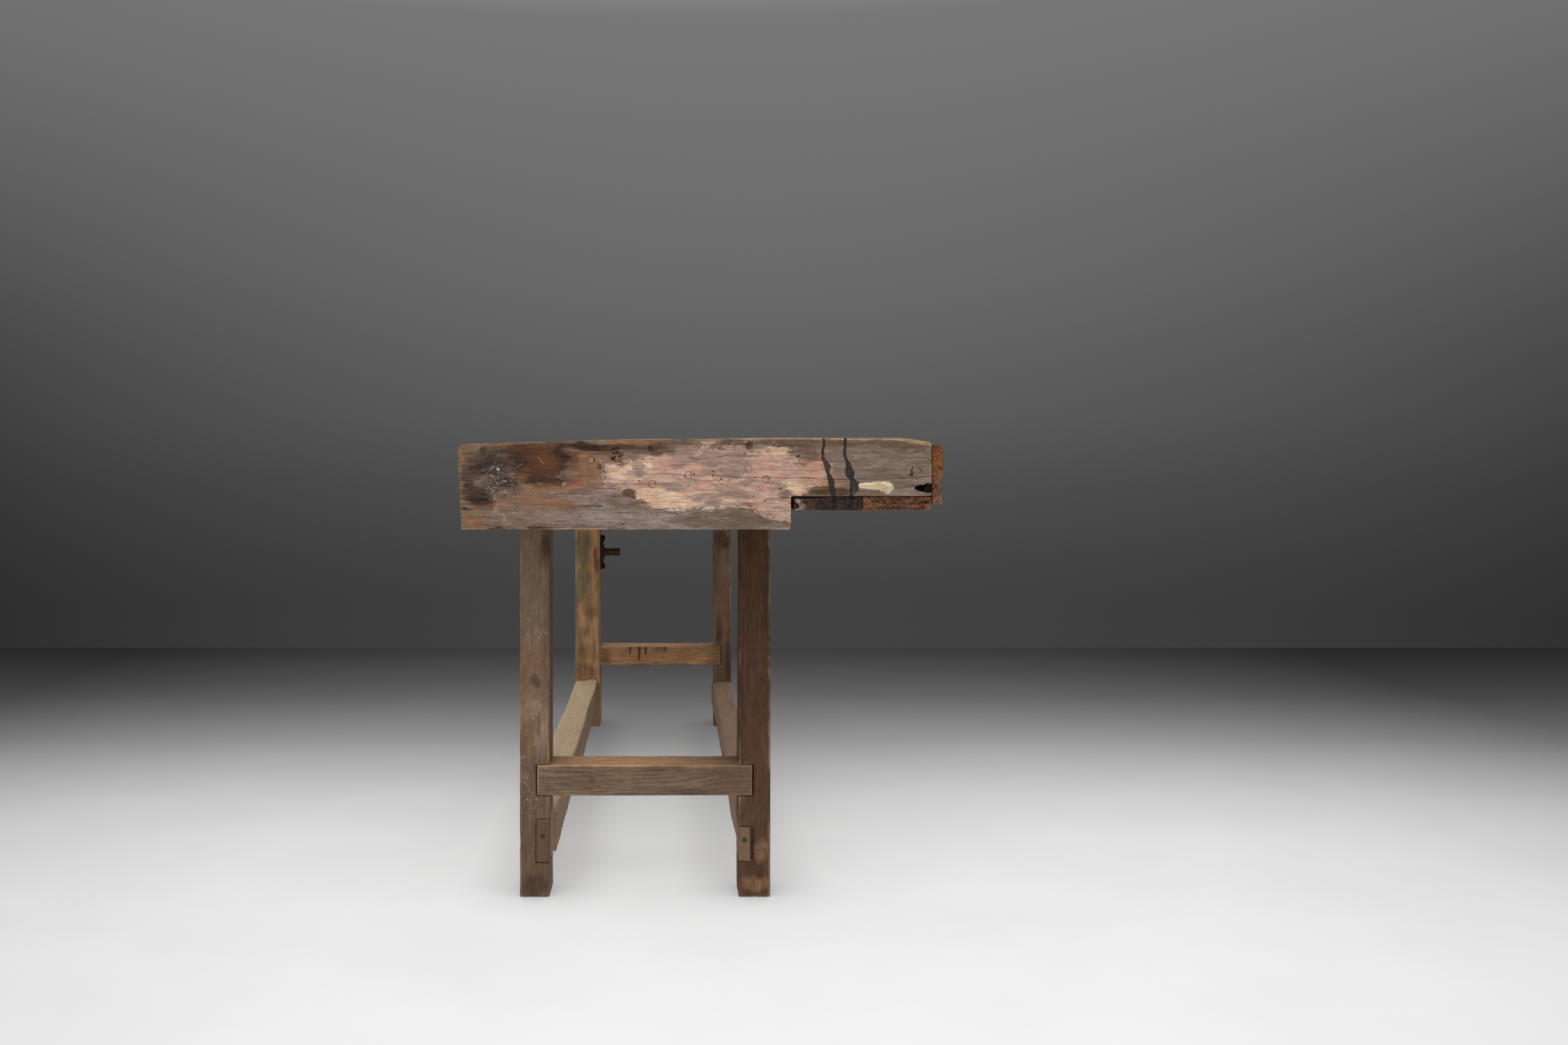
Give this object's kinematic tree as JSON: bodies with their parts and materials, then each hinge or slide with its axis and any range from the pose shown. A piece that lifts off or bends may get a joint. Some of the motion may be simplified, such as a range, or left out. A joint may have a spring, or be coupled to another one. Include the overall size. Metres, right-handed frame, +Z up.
{
  "type": "joiner's workbench",
  "caption": "Old joiner's workbench with a thick top, deep end caps, a sunken tool tray, tied legs and the iron nut and screw stub of a vise.",
  "frame": {"origin": "on the floor under the middle of the whole bench", "axes": "+X along the bench to its right end, +Y from the worker's side to the tool tray at the back, +Z up"},
  "size_m": [2.16, 0.775, 0.819],
  "materials": {
    "top_wood": "worn, stained and scratched bare wood",
    "cap_wood": "worn wood with old paint smears and dark stain",
    "tray_wood": "dark stained rough boards",
    "leg_wood": "grey-brown weathered wood with paint spatters",
    "rail_wood": "grey-brown planed wood, worn",
    "peg_wood": "end grain wood",
    "nail_iron": "dark oxidised iron",
    "vise_iron": "rusty dark iron"
  },
  "bodies": {
    "bench": {"top_front_plank": "top_wood", "top_rear_plank": "top_wood", "top_loose_tongue": "top_wood", "end_cap_right": "cap_wood", "end_cap_left": "cap_wood", "end_cap_pegs_right": "peg_wood", "end_cap_pegs_left": "peg_wood", "leg_tenon_pegs": "peg_wood", "tray_board_inner": "tray_wood", "tray_board_middle": "tray_wood", "tray_board_outer": "tray_wood", "tray_back_board": "tray_wood", "tray_floor_nails": "nail_iron", "tray_back_nails": "nail_iron", "stretcher_nails": "nail_iron", "leg_front_right": "leg_wood", "leg_rear_right": "leg_wood", "leg_front_left": "leg_wood", "leg_rear_left": "leg_wood", "cross_stretcher_right": "rail_wood", "cross_stretcher_left": "rail_wood", "long_stretcher_front": "rail_wood", "long_stretcher_rear": "rail_wood", "vise_nut_plate": "vise_iron", "vise_nut_screws": "vise_iron"},
    "screw": {"vise_screw": "vise_iron"}
  },
  "joints": [
    {"name": "vise_screw_turn", "type": "hinge", "parent": "bench", "child": "screw", "pos_m": [-0.77, -0.2515, 0.5075], "axis": [0, 1, 0], "continuous": true}
  ]
}
